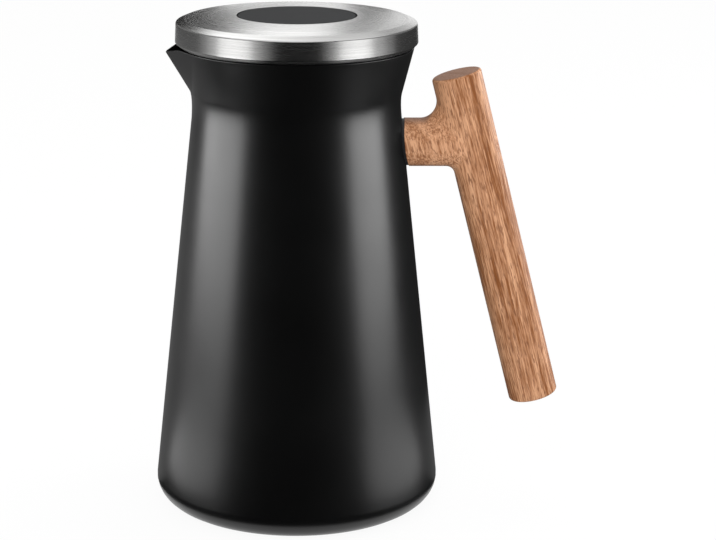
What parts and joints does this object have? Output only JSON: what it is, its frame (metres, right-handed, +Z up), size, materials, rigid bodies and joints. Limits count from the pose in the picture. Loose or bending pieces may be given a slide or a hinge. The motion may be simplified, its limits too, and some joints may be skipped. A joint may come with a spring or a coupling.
{
  "type": "thermal jug",
  "caption": "Conical double-walled thermal jug with funnel neck and pulled spout, lift-off stopper lid with a press button that opens a valve, and a wooden side handle.",
  "frame": {"origin": "middle of the foot on the standing surface", "axes": "+Z up along the vessel's axis, +X towards the handle, the spout points along -X"},
  "size_m": [0.1973, 0.1384, 0.2392],
  "materials": {
    "coat_black": "satin black coat on steel",
    "lid_steel": "turned and brushed",
    "plain_steel": "drawn sheet and turned steel",
    "getter_metal": "pressed powder",
    "silicone_dark": "matt silicone",
    "silicone_clear": "milky silicone",
    "beech": "oiled beech",
    "core_plastic": "fine moulded texture",
    "button_plastic": "fine matt texture",
    "bush_plastic": "natural moulded",
    "spring_steel": "drawn wire"
  },
  "bodies": {
    "vessel": {"outer_shell": "coat_black", "base_plate": "plain_steel", "vacuum_plug": "plain_steel", "base_pad": "silicone_dark", "inner_flask": "plain_steel", "getter_pill": "getter_metal", "handle_grip": "beech", "handle_boss": "plain_steel", "handle_saddle": "silicone_dark", "handle_bolt": "plain_steel", "bolt_washer": "plain_steel", "bolt_plug": "beech"},
    "lid": {"lid_cap": "lid_steel", "lid_core": "core_plastic", "stopper_body": "core_plastic", "stopper_seal": "silicone_clear", "lid_screws": "plain_steel", "guide_bush": "bush_plastic", "stem_ring": "silicone_dark", "button_spring": "spring_steel"},
    "button": {"press_button": "button_plastic", "valve_stem": "plain_steel", "valve_disc": "core_plastic", "valve_seal": "silicone_clear", "stem_clip": "spring_steel"}
  },
  "joints": [
    {"name": "lid_lift", "type": "slide", "parent": "vessel", "child": "lid", "axis": [0, 0, 1], "range_m": [0, 0.09]},
    {"name": "button_press", "type": "slide", "parent": "lid", "child": "button", "axis": [0, 0, -1], "range_m": [0, 0.0045], "stiffness_N_per_m": 800, "springref_m": -0.003, "deforming": ["button_spring"]}
  ]
}
